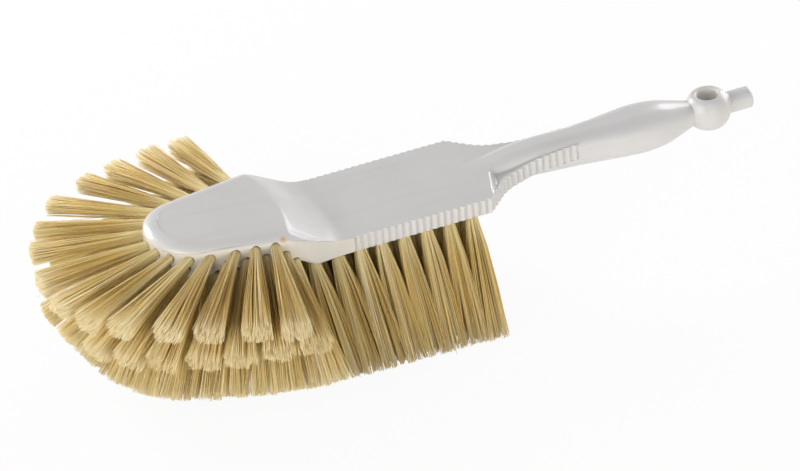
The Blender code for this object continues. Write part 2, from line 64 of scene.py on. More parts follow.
# %% Sizes of the head, neck and handle
HEAD_LENGTH = 175 * MM
NOSE_LENGTH = 65 * MM
NOSE_RADIUS = 26 * MM
NOSE_TAPER = math.radians(11)
SHOULDER_LENGTH = 28 * MM
HALF_WIDTH = 30.3 * MM
HALF_BAND = 4.35 * MM
NOSE_RISE = 13.6 * MM
NOSE_TILT = math.radians(2.5)
NOSE_FLOOR_RISE = 5.5 * MM
CREST_BULGE = 3.5 * MM
TOP_SLOPE_LENGTH = 34 * MM
TOP_SLOPE_POWER = 0.8
FLOOR_SLOPE_START = 67 * MM
FLOOR_SLOPE_LENGTH = 13 * MM
NECK_LENGTH = 58 * MM
HALF_WAIST = 10.8 * MM
NECK_PLACES = np.array((0, 0.10, 0.205, 0.30, 0.40, 0.48, 0.64, 0.82, 1.0))
NECK_SPREADS = np.array((1, 0.71, 0.41, 0.235, 0.135, 0.07, 0.02, 0.01, 0.03))
HANDLE_LENGTH = 131.1 * MM
HANDLE_HALF_WIDTH = 14 * MM
HANDLE_HALF_HEIGHT = 10.5 * MM

low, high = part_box("brush_body")
ORIGIN = np.array((low.x, (low.y + high.y) / 2, low.z + HANDLE_HALF_HEIGHT))
print("nose tip and handle axis at", ORIGIN.round(5))

# %% [markdown]
# ## A curve through known places
# The handle and the neck were measured at a few places. A cubic Hermite curve passes through each
# measured value with a slope taken from its neighbours, so the surface has no corners between
# them.


# %% Helpers for smooth shapes
def curve_through(x, places, values):
    """Cubic Hermite: (1+2u)(1-u)^2 a + u(1-u)^2 h s + u^2(3-2u) b + u^2(u-1) h t.

    u is the share of a span of length h, a and b are its end values, and s and t its end slopes.
    """
    slopes = np.gradient(values, places)
    i = np.clip(np.searchsorted(places, x) - 1, 0, len(places) - 2)
    span = places[i + 1] - places[i]
    u = np.clip((x - places[i]) / span, 0, 1)
    start = (1 + 2 * u) * (1 - u) ** 2 * values[i] + u * (1 - u) ** 2 * span * slopes[i]
    end = u**2 * (3 - 2 * u) * values[i + 1] + u**2 * (u - 1) * span * slopes[i + 1]
    return start + end


def fall(share):
    """1 - 3s^2 + 2s^3: an S-curve from 1 down to 0 as the share s goes from 0 to 1."""
    share = np.clip(share, 0, 1)
    return 1 - 3 * share**2 + 2 * share**3


def soft_max(a, b, blend):
    """The larger of a and b plus h^2 blend/4, with h = 1 - |a-b|/blend: a fillet between them."""
    near = np.clip(1 - np.abs(a - b) / blend, 0, 1)
    return np.maximum(a, b) + near**2 * blend / 4


def soft_min(a, b, blend):
    """The smaller of a and b, rounded off where they meet."""
    return -soft_max(-a, -b, blend)


print("half way down the S-curve:", float(fall(0.5)))

# %% [markdown]
# ## The outline from above
# Half the outline is enough, because the body is the same on both sides. It is worked out finely,
# spaced evenly along its own length and lightly smoothed, which rounds the block's rear corner as
# the mould does.

# %% The outline
OUTLINE_STEP = 0.25 * MM
CORNER_WINDOW = 9
ARC_TURN = math.pi / 2 - NOSE_TAPER
FLANK_X = NOSE_RADIUS * (1 - math.cos(ARC_TURN))
FLANK_Y = NOSE_RADIUS * math.sin(ARC_TURN)


def half_width(x):
    """Flank line, a cosine ease to the block's width, and then the neck's curve to the waist."""
    flank = FLANK_Y + (np.minimum(x, NOSE_LENGTH) - FLANK_X) * math.tan(NOSE_TAPER)
    ease = np.clip((x - NOSE_LENGTH) / SHOULDER_LENGTH, 0, 1)
    head = HALF_WIDTH + (flank - HALF_WIDTH) * (1 + np.cos(math.pi * ease)) / 2
    spread = curve_through((x - HEAD_LENGTH) / NECK_LENGTH, NECK_PLACES, NECK_SPREADS)
    return np.where(x < HEAD_LENGTH, head, HALF_WAIST + (HALF_WIDTH - HALF_WAIST) * spread)


def even_outline():
    """The outline as evenly spaced (x, y), smoothed by a moving mean mirrored at the nose tip."""
    turns = np.linspace(0, ARC_TURN, 600)
    arc = np.column_stack([NOSE_RADIUS * (1 - np.cos(turns)), NOSE_RADIUS * np.sin(turns)])
    x = np.linspace(FLANK_X, HEAD_LENGTH + NECK_LENGTH, 4000)[1:]
    points = np.vstack([arc, np.column_stack([x, half_width(x)])])
    steps = np.linalg.norm(np.diff(points, axis=0), axis=1)
    travelled = np.concatenate([[0], np.cumsum(steps)])
    even = np.arange(0, travelled[-1], OUTLINE_STEP)
    points = np.column_stack([np.interp(even, travelled, values) for values in points.T])
    pad = CORNER_WINDOW // 2
    ahead = points[1 : pad + 1][::-1] * (1, -1)
    behind = 2 * points[-1] - points[-pad - 1 : -1][::-1]
    padded = np.vstack([ahead, points, behind])
    window = np.ones(CORNER_WINDOW) / CORNER_WINDOW
    smooth = np.column_stack([np.convolve(values, window, "valid") for values in padded.T])
    smooth[0] = points[0]
    return even, smooth


outline_run, outline = even_outline()
along = np.gradient(outline, axis=0)
along[0] = (0, 1)
along /= np.linalg.norm(along, axis=1)[:, None]
outward = np.column_stack([-along[:, 1], along[:, 0]])
print("outline", len(outline), "points,", round(outline_run[-1] / MM, 1), "mm long")

# %% [markdown]
# ## Heights of the top and the floor
# Seen from the side, the nose stands higher than the block, and a soft slope joins them. Its
# crest bulges back in the middle, and on the near side it is pulled forward. Behind the block the
# face drops over a crisp crease into a shallow hollow on either side of the ridge, deeper on the
# near side, and climbs slowly again along the neck, where the ribbed band rises too. Such a
# height is the easiest to write as a product of S-curves: one along the brush and one across it.

# %% Top, floor and edge radii
CREST_PULL = 5 * MM
NEAR_HOLLOW = 2.6 * MM
FAR_HOLLOW = 0.4 * MM
HOLLOW_SWEEP = 10 * MM
HOLLOW_DROP = 4.5 * MM
HOLLOW_LEVEL = HEAD_LENGTH + 13 * MM
HOLLOW_CLIMB = 26 * MM
HOLLOW_MARGIN = 5 * MM
HOLLOW_SIDE = 7 * MM
BAND_RISE = 2.5 * MM
BAND_RISE_PLACES = (HEAD_LENGTH, HEAD_LENGTH + NECK_LENGTH)
EDGE_EASE = 0.6 * TOP_SLOPE_LENGTH
BAND_EDGE_RADIUS = 0.6 * MM
NOSE_RIM_RADIUS = 4.2 * MM
NOSE_RIM_WIDTH = 7.5 * MM
NOSE_FOOT_RADIUS = 4.2 * MM


def hollow(x, y, edge_y, depth):
    """The depth times three S-curves: down from a slanting crease, up again, and out at the edge."""
    crease = HEAD_LENGTH + HOLLOW_SWEEP * (1 - np.abs(y) / HALF_WIDTH)
    lengthwise = (1 - fall((x - crease) / HOLLOW_DROP)) * fall((x - HOLLOW_LEVEL) / HOLLOW_CLIMB)
    return depth * lengthwise * fall((np.abs(y) - edge_y + HOLLOW_MARGIN) / HOLLOW_SIDE)


def band_rise(x):
    """How far the band has climbed, on a straight line from the block's end to the neck's."""
    return BAND_RISE * np.interp(x, BAND_RISE_PLACES, (0, 1))


def top_height(x, y, edge_y, depth):
    """Band height, the nose's rise times an S-curve and the band's rise, less the hollow.

    The S-curve starts at the crest, which is pulled forward by as much as the hollow is deep.
    """
    across = np.clip(np.abs(y) / np.maximum(edge_y, BAND_EDGE_RADIUS), 0, 1)
    pull = CREST_PULL * across**2 * depth / NEAR_HOLLOW
    crest = NOSE_LENGTH + CREST_BULGE * (1 - across**2) - pull
    rise = NOSE_RISE + np.maximum(NOSE_LENGTH - x, 0) * math.tan(NOSE_TILT)
    share = np.clip((x - crest) / (NOSE_LENGTH + TOP_SLOPE_LENGTH - crest), 0, 1)
    slope = HALF_BAND + rise * fall(share**TOP_SLOPE_POWER)
    return slope + band_rise(x) - hollow(x, y, edge_y, depth)


def floor_height(x):
    """The underside: raised under the nose, level under the block, and rising with the band."""
    share = (x - FLOOR_SLOPE_START) / FLOOR_SLOPE_LENGTH
    return -HALF_BAND + NOSE_FLOOR_RISE * fall(share) + band_rise(x)


def edge_radius(nose_radius, x):
    """The edge's rounding: the nose's own, easing to the band's small one along the slope."""
    return BAND_EDGE_RADIUS + (nose_radius - BAND_EDGE_RADIUS) * fall((x - NOSE_LENGTH) / EDGE_EASE)


print("nose top", round(float(top_height(10 * MM, 0, 1, 0)) / MM, 2), "mm above the axis")

# %% [markdown]
# ## The ribs
# The band round the block and neck is ribbed for grip. A rib is a convex curve between two narrow
# valleys, so its depth is a power of how far a point is from the middle of its rib. Ten stations
# for each rib are enough to show the curve, and one of them always falls in the valley. Behind
# the neck the stations follow the handle, and crowd together round the ball and the peg's end.

# %% Stations along the body, and the ribs' depth at each
RIB_PITCH = 3.8 * MM
RIB_START = 100.4 * MM
RIB_DEPTH = 1.4 * MM
RIB_POWER = 1.4
STATIONS_PER_RIB = 10
PLAIN_STEP = 0.8 * MM
BALL_RADIUS = 11.65 * MM
BALL_X = HEAD_LENGTH + HANDLE_LENGTH
PEG_END = BALL_X + 23 * MM
PEG_RADIUS = 5.55 * MM
PEG_ROUND = 1.5 * MM

first_rib = float(np.interp(RIB_START, outline[:, 0], outline_run))
rib_count = int((outline_run[-1] - first_rib) / RIB_PITCH)
last_rib = first_rib + rib_count * RIB_PITCH
plain_run = np.linspace(0, first_rib, int(first_rib / PLAIN_STEP))[:-1]
rib_run = np.linspace(first_rib, last_rib, rib_count * STATIONS_PER_RIB + 1)
head_run = np.concatenate([plain_run, rib_run])

neck_end = float(np.interp(last_rib, outline_run, outline[:, 0]))
ball_turns = np.linspace(math.radians(144), math.radians(22), 30)
handle_x = np.concatenate([
    neck_end + np.array((0.25, 0.5, 0.8, 1.2)) * MM,
    np.linspace(neck_end + 2 * MM, BALL_X - 11.4 * MM, 72),
    np.linspace(BALL_X - 11.1 * MM, BALL_X - 9.6 * MM, 8),
    BALL_X + BALL_RADIUS * np.cos(ball_turns),
    np.linspace(BALL_X + 11.2 * MM, PEG_END - PEG_ROUND, 14),
    PEG_END - PEG_ROUND * (1 - np.sin(np.linspace(0, math.pi / 2, 7)[1:])),
])
head_x, head_y = (np.interp(head_run, outline_run, values) for values in outline.T)
station_x = np.concatenate([head_x, handle_x])
station_y = np.concatenate([head_y, np.full(len(handle_x), HALF_WAIST)])
station_out = np.zeros((len(station_x), 2))
station_out[:, 1] = 1
for axis in (0, 1):
    station_out[: len(head_run), axis] = np.interp(head_run, outline_run, outward[:, axis])
in_rib = ((head_run - first_rib) / RIB_PITCH) % 1
rib_depth = np.zeros(len(station_x))
from_crown = np.abs(2 * in_rib - 1)
rib_depth[: len(head_run)] = np.where(head_run >= first_rib, RIB_DEPTH * from_crown**RIB_POWER, 0)
print(len(station_x), "stations,", rib_count, "ribs on each side")

# %% [markdown]
# ## Half a cross-section
# Every station has the same points in the same order: along the floor, round the foot, up the
# wall, round the rim and back over the top. Because the order never changes, the crisp edges run
# straight along the grid. The grid needs no loop: each row is a station and each column a place
# in the section.

# %% The head's grid
VALLEY_AT_TOP = 0.55
VALLEY_AT_FOOT = 0.25
floor_shares = np.linspace(0, 1, 12)
foot_turns = np.linspace(0, math.pi / 2, 5)[1:]
wall_shares = np.linspace(0, 1, 9)[1:]
rim_turns = np.linspace(0, math.pi / 2, 9)[1:]
top_shares = np.linspace(1, 0, 24)[1:]


def half_grid(depth):
    """(stations, places, 3): floor, foot arc r(1-sin), wall, rim arc w(1-cos) and top.

    The foot, the wall and the rim are pushed in by the rib's depth, less at the foot and the rim.
    """
    x, y, out = station_x[:, None], station_y[:, None], station_out
    foot = edge_radius(NOSE_FOOT_RADIUS, x)
    rim = edge_radius(NOSE_RIM_RADIUS, x)
    rim_width = edge_radius(NOSE_RIM_WIDTH, x)
    floor = floor_height(x)
    top = top_height(x, y - rim_width, y, depth)
    push = rib_depth[:, None]

    def inset_to(inset, z):
        """The points this far inside the outline, at these heights."""
        inset = np.broadcast_to(inset, z.shape)
        px = x - inset * out[:, :1]
        py = np.maximum(y - inset * out[:, 1:], 0)
        return np.stack([px, py, z], axis=2)

    def drawn_in(edge, shares):
        """Copies of each station's edge point, at these shares of its way from the middle."""
        ones = np.ones(len(shares))
        return edge * np.stack([ones, shares, ones], axis=1)

    base = drawn_in(inset_to(foot + push * VALLEY_AT_FOOT, floor), floor_shares)
    deepen = VALLEY_AT_FOOT + (1 - VALLEY_AT_FOOT) * np.sin(foot_turns)
    foot_inset = foot * (1 - np.sin(foot_turns)) + push * deepen
    foot_arc = inset_to(foot_inset, floor + foot * (1 - np.cos(foot_turns)))
    wall = inset_to(push, floor + foot + (top - rim - floor - foot) * wall_shares)
    fade = 1 - (1 - VALLEY_AT_TOP) * np.sin(rim_turns)
    rim_inset = rim_width * (1 - np.cos(rim_turns)) + push * fade
    rim_arc = inset_to(rim_inset, top - rim + rim * np.sin(rim_turns))
    cover = drawn_in(rim_arc[:, -1:], top_shares)
    cover[:, :, 2] = top_height(cover[:, :, 0], cover[:, :, 1], y, depth)
    return np.concatenate([base, foot_arc, wall, rim_arc, cover], axis=1)


far_half, near_half = half_grid(FAR_HOLLOW), half_grid(NEAR_HOLLOW)
FOOT_START, TOP_START = len(floor_shares), far_half.shape[1] - len(top_shares)
print("half grid", far_half.shape)

# %% [markdown]
# ## One skin for block, handle, ball and peg
# On the real brush these flow into each other. Seen along the handle's axis each of them is a
# radius for every angle, so joining them is taking the larger radius. The soft maximum leaves a
# fillet where two of them meet, which a plain Boolean union can't do. The neck of the real one
# has warped a little, so the finished skin is sheared there: one side goes up and the other down.

# %% Handle, ball and peg radii
HANDLE_SQUARENESS = 2.5
HANDLE_PLACES = np.array((-0.12, -0.04, 0.03, 0.08, 0.14, 0.20, 0.28, 0.38, 0.47, 0.56, 0.64,
                          0.72, 0.77, 0.81, 0.845, 0.88, 0.91, 0.94))
HANDLE_WIDTHS = np.array((0.30, 0.50, 0.54, 0.58, 0.64, 0.69, 0.735, 0.765, 0.82, 0.90, 0.975,
                          1.0, 0.96, 0.88, 0.765, 0.64, 0.53, 0.43))
HANDLE_TOPS = np.array((0.10, 0.32, 0.46, 0.58, 0.77, 0.88, 0.945, 0.95, 0.95, 0.97, 0.99,
                        1.0, 0.965, 0.90, 0.80, 0.70, 0.61, 0.53))
HANDLE_FLOORS = np.array((0.10, 0.30, 0.34, 0.40, 0.48, 0.58, 0.70, 0.83, 0.92, 0.97, 0.99,
                          1.0, 0.965, 0.90, 0.80, 0.70, 0.61, 0.53))
BALL_HALF_HEIGHT = 8.65 * MM
RIDGE_BLEND = 1.8 * MM
RIB_PROUD = 0.9 * MM
CRISP_BLEND = 0.3 * MM
NECK_BLEND = 1.8 * MM
BALL_BLEND = 0.6 * MM
BALL_EDGE_BLEND = 1.4 * MM
PEG_BLEND = 1.4 * MM
NECK_LEAN = math.tan(math.radians(7.5))
LEAN_PLACES = HEAD_LENGTH + np.array((22 * MM, NECK_LENGTH, NECK_LENGTH + 30 * MM))
SKIN_START = HEAD_LENGTH - 16 * MM
FLANGE_END = 1.2 * MM
SETTLE_LENGTH = 14 * MM


def handle_radius(x, turn):
    """Superellipse: (|cos/a|^n + |sin/b|^n)^(-1/n), with its own b above and below the axis."""
    place = (x - HEAD_LENGTH) / HANDLE_LENGTH
    a = HANDLE_HALF_WIDTH * curve_through(place, HANDLE_PLACES, HANDLE_WIDTHS)
    above = curve_through(place, HANDLE_PLACES, HANDLE_TOPS)
    below = curve_through(place, HANDLE_PLACES, HANDLE_FLOORS)
    b = HANDLE_HALF_HEIGHT * np.where(np.sin(turn) > 0, above, below)
    n = HANDLE_SQUARENESS
    radius = (np.abs(np.cos(turn) / a) ** n + np.abs(np.sin(turn) / b) ** n) ** (-1 / n)
    inside = (place > HANDLE_PLACES[0]) & (x < BALL_X)
    return np.where(inside, radius, 0)


def ball_radius(x, turn):
    """A circle sqrt(R^2 - d^2), cut flat above and below at h/|sin|."""
    circle = np.sqrt(np.maximum(BALL_RADIUS**2 - (x - BALL_X) ** 2, 0))
    flat = BALL_HALF_HEIGHT / np.maximum(np.abs(np.sin(turn)), 1e-6)
    return np.where(circle > 0, soft_min(circle, flat, BALL_EDGE_BLEND), 0)


def peg_radius(x):
    """A cylinder whose end edge is a quarter circle."""
    into = np.clip((x - (PEG_END - PEG_ROUND)) / PEG_ROUND, 0, 1)
    radius = PEG_RADIUS - PEG_ROUND * (1 - np.sqrt(np.maximum(1 - into**2, 0)))
    return np.where(x > BALL_X, radius, 0)


print("waist of the handle", round(float(handle_radius(BALL_X - 8 * MM, 0.0)) / MM, 2), "mm")

# %% The skin as one grid
def skin(points):
    """Each point moves along its own direction from the axis, out to the largest of the four radii.

    Past the neck the directions settle to even ones, and the band's own radius falls to nothing.
    """
    x, y, z = np.moveaxis(points, 2, 0)
    turn = np.arctan2(z, y)
    column = np.arange(points.shape[1])
    even = np.linspace(-math.pi / 2, math.pi / 2, len(column))
    settle = 1 - fall((x - neck_end - FLANGE_END) / SETTLE_LENGTH)
    turn = turn + (even - turn) * settle
    past = np.clip((x - neck_end) / FLANGE_END, 0, 1)
    flange = np.hypot(y, z) * (1 - past**2)
    on_face = (column < FOOT_START - 2) | (column > TOP_START + 2)
    blend = np.where(on_face, RIDGE_BLEND, CRISP_BLEND)[None, :] + 0 * x
    blend = np.where(x > neck_end, np.maximum(CRISP_BLEND, NECK_BLEND * settle), blend)
    on_band = ((column >= FOOT_START) & (column < TOP_START))[None, :] & (x <= neck_end)
    handle = handle_radius(x, turn) - np.where(on_band, RIB_PROUD, 0)
    radius = soft_max(flange, handle, blend)
    radius = np.where(x > SKIN_START, radius, flange)
    ball = ball_radius(x, turn)
    peg = peg_radius(x)
    radius = np.where(ball > 0, soft_max(radius, ball, BALL_BLEND), radius)
    radius = np.where(peg > 0, soft_max(np.where(ball > 0, radius, 0), peg, PEG_BLEND), radius)
    moved = np.stack([x, radius * np.cos(turn), radius * np.sin(turn)], axis=2)
    return np.where((x > SKIN_START)[:, :, None], moved, points)


def full_ring(far, near):
    """The far half section and the mirror image of the near one as one closed ring."""
    return np.concatenate([far, near[:, -2:0:-1] * (1, -1, 1)], axis=1)


def closed_end(points):
    """The last ring drawn in to a half and then to nothing, which makes the peg's flat end."""
    middle = points[-1].mean(axis=0)
    drawn = [middle + share * (points[-1] - middle) for share in (0.5, 0.0)]
    return np.concatenate([points, drawn])


def leaned(points):
    """Heights less y times a slope that climbs along the neck and dies out along the handle."""
    x, y, z = np.moveaxis(points, 2, 0)
    slope = NECK_LEAN * np.interp(x, LEAN_PLACES, (0, 1, 0))
    return np.stack([x, y, z - slope * y], axis=2)


rings = closed_end(leaned(full_ring(skin(far_half), skin(near_half)))) + ORIGIN
print("skin", rings.shape)

# %% [markdown]
# ## From a grid to a mesh
# Neighbouring rings make quads. The nose closes because the first ring has no width, and the
# peg's end closes with one centre point. Merging the points that fall together closes both for
# good.


# %% Grid to mesh
def mesh_object(name, vertices, faces):
    """A new object from arrays of vertices and faces."""
    mesh = bpy.data.meshes.new(name)
    mesh.from_pydata(vertices, [], faces)
    made = bpy.data.objects.new(name, mesh)
    bpy.context.scene.collection.objects.link(made)
    return made


def quads_between(rows, columns):
    """Quad corners (i, j), (i, j+1), (i+1, j+1), (i+1, j) with the columns closed into a ring."""
    i, j = np.meshgrid(np.arange(rows - 1), np.arange(columns), indexing="ij")
    k = (j + 1) % columns
    corners = (i * columns + j, i * columns + k, (i + 1) * columns + k, (i + 1) * columns + j)
    return np.stack(corners, axis=-1).reshape(-1, 4)


def tidy(made, distance):
    """Merges the points that fall together and turns the faces outwards."""
    faces = bmesh.new()
    faces.from_mesh(made.data)
    bmesh.ops.remove_doubles(faces, verts=faces.verts, dist=distance)
    bmesh.ops.dissolve_degenerate(faces, edges=faces.edges, dist=distance / 10)
    bmesh.ops.recalc_face_normals(faces, faces=faces.faces)
    faces.to_mesh(made.data)
    faces.free()


rows, columns = rings.shape[:2]
body = mesh_object("brush_shell", rings.reshape(-1, 3), quads_between(rows, columns).tolist())
tidy(body, 0.01 * MM)
print("shell", len(body.data.vertices), "points")

# %% [markdown]
# ## Where the tufts stand
# Each tuft of the nose is a node of its own: a long thin solid. Its root is the end nearer the
# body's middle, so the mean of the points at either end gives the tuft's axis. A row under the
# block is one node, and its tufts are told apart by the gaps between their root ends. The
# drilling angles give the rest: the rows splay sideways, and lean back less and less towards the
# handle. Use has bent some tufts of the nose and worn others shorter, so each side has its own
# reach, and each bent tuft has a shift of its root and one of its tip, in millimetres.


# %% Read every tuft's root and tip
def node_points(name):
    """The node's points, each once."""
    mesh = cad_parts[name].data
    points = np.empty(len(mesh.vertices) * 3, np.float32)
    mesh.vertices.foreach_get("co", points)
    return np.unique(points.reshape(-1, 3).round(6), axis=0)


END_DEPTH = 1 * MM
ROOT_GAP = 5 * MM
ROOT_DROPS = {"upper": 1.6 * MM, "middle": 1.5 * MM, "lower": 0.6 * MM}
SIDEWAYS = (-1.0, -0.31, 0.0, 0.31, 0.6, 1.0)
REACHES = {
    "upper": (1.2, -2.5, 0.5, 3.0, 4.5, 5.5),
    "middle": (-1.2, 0, 0, 1, 2, 3),
    "lower": (4.5, 1, 0, 0, 2, 4),
}
BENT = {
    "upper_tuft_02": ((0, 0), (0, 1.2, 2.0)),
    "upper_tuft_03": ((0, 0), (-3.0, 3.6, 0)),
    "upper_tuft_04": ((-2.4, 1.2), (-4.7, 1.4, 0)),
    "upper_tuft_05": ((-2.4, 1.4), (-11.0, 4.5, 0)),
    "upper_tuft_06": ((-2.2, 1.9), (-12.0, 4.4, 0)),
    "upper_tuft_07": ((-0.8, 1.5), (-8.9, 2.0, 0)),
    "upper_tuft_09": ((0, 0), (4.9, -1.6, 3.5)),
    "upper_tuft_10": ((0, 0), (4.1, -3.0, 4.3)),
    "upper_tuft_11": ((0, 0), (0.7, 0, 1.7)),
    "upper_tuft_12": ((0, 0), (1.4, 0, 1.2)),
    "upper_tuft_13": ((0, 0), (0, -1.5, 1.6)),
    "upper_tuft_14": ((0.8, 0), (1.0, -1.5, 2.0)),
    "upper_tuft_15": ((3.4, 0.4), (2.6, -2.8, 2.0)),
    "middle_tuft_05": ((0, 0), (-3.4, 1.9, 1.5)),
    "middle_tuft_06": ((0, 0), (-4.3, 2.3, 2.4)),
    "middle_tuft_07": ((0, 0), (-3.4, 1.8, 3.0)),
}
INNER_ROWS = ("block_tuft_row_2", "block_tuft_row_4")
INNER_STRETCH = 1.07
OUTER_ROW = 25.8 * MM
OUTER_ROOT = 24.5 * MM
BLOCK_SPLAY = math.tan(math.radians(16.5))
BLOCK_ENDS = (HEAD_LENGTH - 98 * MM, HEAD_LENGTH - 10 * MM)
BLOCK_LEANS = (math.tan(math.radians(9)), 0.0)
UNDER_SLOPES = (math.tan(math.radians(-5)), math.tan(math.radians(7)))
INWARD_PLACE = (np.array(low) + np.array(high)) / 2 - (30 * MM, 0, 0)


def single_tuft(name):
    """(root, tip) of one tuft: the means of the points at either end of its longest direction.

    The tip then moves out by its side's reach, and a bent tuft's root and tip by their own shifts.
    """
    points = node_points(name)
    middle = points.mean(axis=0)
    direction = np.linalg.svd(points - middle, full_matrices=False)[2][0]
    share = (points - middle) @ direction
    near_ends = (share < share.min() + END_DEPTH, share > share.max() - END_DEPTH)
    ends = [points[chosen].mean(axis=0) for chosen in near_ends]
    root, tip = sorted(ends, key=lambda end: np.linalg.norm(end - INWARD_PLACE))
    kind = name.split("_")[0]
    direction = (tip - root) / np.linalg.norm(tip - root)
    reach = np.interp(direction[1] / np.hypot(*direction[:2]), SIDEWAYS, REACHES[kind])
    root_shift, tip_shift = BENT.get(name, ((0, 0), (0, 0, 0)))
    root = root + np.array((*root_shift, 0)) * MM - (0, 0, ROOT_DROPS[kind])
    return root, tip + (reach * direction + tip_shift) * MM


def row_of_tufts(name):
    """(root, tip) of each tuft in a row: root ends in groups along x, with lines to the floor."""
    points = node_points(name)
    ends = points[points[:, 2] > points[:, 2].max() - END_DEPTH]
    ends = ends[np.argsort(ends[:, 0])]
    cuts = np.flatnonzero(np.diff(ends[:, 0]) > ROOT_GAP) + 1
    roots = np.array([group.mean(axis=0) for group in np.split(ends, cuts)])
    if name in INNER_ROWS:
        roots[:, 0] = roots[0, 0] + (roots[:, 0] - roots[0, 0]) * INNER_STRETCH
    x, y = (roots[:, :2] - ORIGIN[:2]).T
    if name.startswith("block"):
        slopes = np.interp(x, BLOCK_ENDS, BLOCK_LEANS), y / OUTER_ROW * BLOCK_SPLAY
    else:
        slopes = np.full(len(x), UNDER_SLOPES[0]), np.sign(y) * UNDER_SLOPES[1]
    tips = roots + np.column_stack([*slopes, -np.ones(len(x))]) * roots[:, 2:]
    roots[:, 1] = ORIGIN[1] + np.clip(y, -OUTER_ROOT, OUTER_ROOT)
    return list(zip(roots, tips, strict=True))


names = sorted(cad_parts)
rows_of = {
    kind: [single_tuft(name) for name in names if name.startswith(kind)]
    for kind in ("upper_tuft", "middle_tuft", "lower_tuft")
}
straight_names = [name for name in names if "_tuft_row_" in name]
rows_of |= {name: row_of_tufts(name) for name in straight_names}
print({kind: len(row) for kind, row in rows_of.items()})

# %% [markdown]
# ## Holes and the hanging bore
# Every tuft fills a drilled hole, and only a thin dark line shows round it. The holes are cut
# with one Boolean, from a cutter that holds all the drills. The bore through the ball is a turned
# shape that flares at both ends, so that its rims come out rounded.

# %% Drills and the bore cutter
HOLE_RADIUS = 2.6 * MM
HOLE_DEPTH = 3.4 * MM
ROOT_DEPTH = 5.8 * MM
DRILL_SIDES = 20
BORE_RADIUS = 5.35 * MM
BORE_ROUND = 1.3 * MM
BORE_SIDES = 64
BORE_REACH = 12 * MM
UPWARD = np.array([[0.0, 0.0, 1.0]])


def axes_of(directions):
    """Two directions square to each given one, and to each other."""
    reference = np.where(np.abs(directions[:, 2:]) > 0.9, (1.0, 0.0, 0.0), (0.0, 0.0, 1.0))
    across = np.cross(reference, directions)
    across /= np.linalg.norm(across, axis=1)[:, None]
    return across, np.cross(directions, across)


def turned_solids(starts, directions, profile, sides):
    """A capped solid for each start: rings of the profile's radii at start + depth * direction."""
    across, up = (axis[:, None, None] for axis in axes_of(directions))
    turns = np.arange(sides)[:, None] * 2 * math.pi / sides
    circle = np.cos(turns) * across + np.sin(turns) * up
    depths, radii = np.array(profile).T
    centres = starts[:, None] + depths[:, None] * directions[:, None]
    points = centres[:, :, None] + radii[:, None, None] * circle
    rings_each, each = len(profile), len(profile) * sides
    faces = []
    for number in range(len(starts)):
        first = number * each
        faces += (quads_between(rings_each, sides) + first).tolist()
        faces.append(list(range(first, first + sides))[::-1])
        faces.append(list(range(first + each - sides, first + each)))
    return points.reshape(-1, 3), faces


every_tuft = np.array([pair for row in rows_of.values() for pair in row])
directions = every_tuft[:, 1] - every_tuft[:, 0]
directions /= np.linalg.norm(directions, axis=1)[:, None]
drill_profile = [(ROOT_DEPTH - HOLE_DEPTH, HOLE_RADIUS), (ROOT_DEPTH + 5 * MM, HOLE_RADIUS)]
drill_parts = turned_solids(every_tuft[:, 0], directions, drill_profile, DRILL_SIDES)
drills = mesh_object("drills", *drill_parts)
flare = np.linspace(0, math.pi / 2, 9)
flare_heights = BALL_HALF_HEIGHT - BORE_ROUND * (1 - np.sin(flare))
flare_radii = BORE_RADIUS + BORE_ROUND * (1 - np.cos(flare))
upper_bore = [*zip(flare_heights, flare_radii), (BORE_REACH, flare_radii[-1])]
bore_profile = [(-height, radius) for height, radius in upper_bore[::-1]] + upper_bore
bore_place = ORIGIN[None] + (BALL_X, 0, 0)
bore = mesh_object("bore", *turned_solids(bore_place, UPWARD, bore_profile, BORE_SIDES))
for cutter in (drills, bore):
    tidy(cutter, 0.001 * MM)
print(len(every_tuft), "drills")

# %% Cut the body
SHARP_ANGLE = math.radians(38)


def cut_away(target, cutters):
    """Subtracts each cutter with the manifold solver and keeps the result as the own mesh."""
    for cutter in cutters:
        step = target.modifiers.new(f"cut_{cutter.name}", "BOOLEAN")
        step.operation = "DIFFERENCE"
        step.solver = "MANIFOLD"
        step.object = cutter
    graph = bpy.context.evaluated_depsgraph_get()
    result = bpy.data.meshes.new_from_object(target.evaluated_get(graph))
    target.modifiers.clear()
    target.data = result
    for cutter in cutters:
        bpy.data.objects.remove(cutter)


cut_away(body, (drills, bore))
body.data.shade_smooth()
body.data.set_sharp_from_angle(angle=SHARP_ANGLE)
print("body", len(body.data.polygons), "faces")

# %% [markdown]
# ## Growing a tuft
# A real tuft is a bundle of stiff straw-coloured bristles, folded over a staple at the bottom of
# its hole. They leave the hole packed together and spread towards the tips, where they part into
# small locks, and they are cut square but not all at one length. Particle hair would need no
# mesh, but it doesn't export, so each bristle is a thin three-sided tube, and a whole row is one
# array.

# %% Bristle sizes
STRANDS = 330
STRAND_RADIUS = 0.185 * MM
STRAND_THICKNESSES = (0.8, 1.15)
STRAND_SIDES = 3
STRAND_TIMES = np.array((0, 0.07, 0.3, 0.62, 1.0))
STRAND_RINGS = len(STRAND_TIMES)
STRAND_DEPTH = 3.2 * MM
ROOT_RADIUS = 2.4 * MM
NOSE_TIP_RADII = np.array((6.6, 5.2)) * MM
ROW_TIP_RADII = np.array((6.6, 7.6)) * MM
SIDE_WIDTHS = ((-1.0, -0.3, 0.2, 0.8, 0.95, 1.0), (1.12, 1.02, 0.82, 0.72, 0.8, 0.9))
KIND_WIDTHS = {"middle": 1.1, "lower": 1.38, "under": 1.5}
TIP_SQUARENESS = 0.8
NOSE_SPREAD = (0.12, 1.0)
ROW_SPREAD = (0.05, 0.7)
LOCKS = 24
LOCK_PULL = 0.42
TIP_JITTER = 0.22 * MM
LENGTH_JITTER = 0.4 * MM
END_ROUNDING = 1.3 * MM
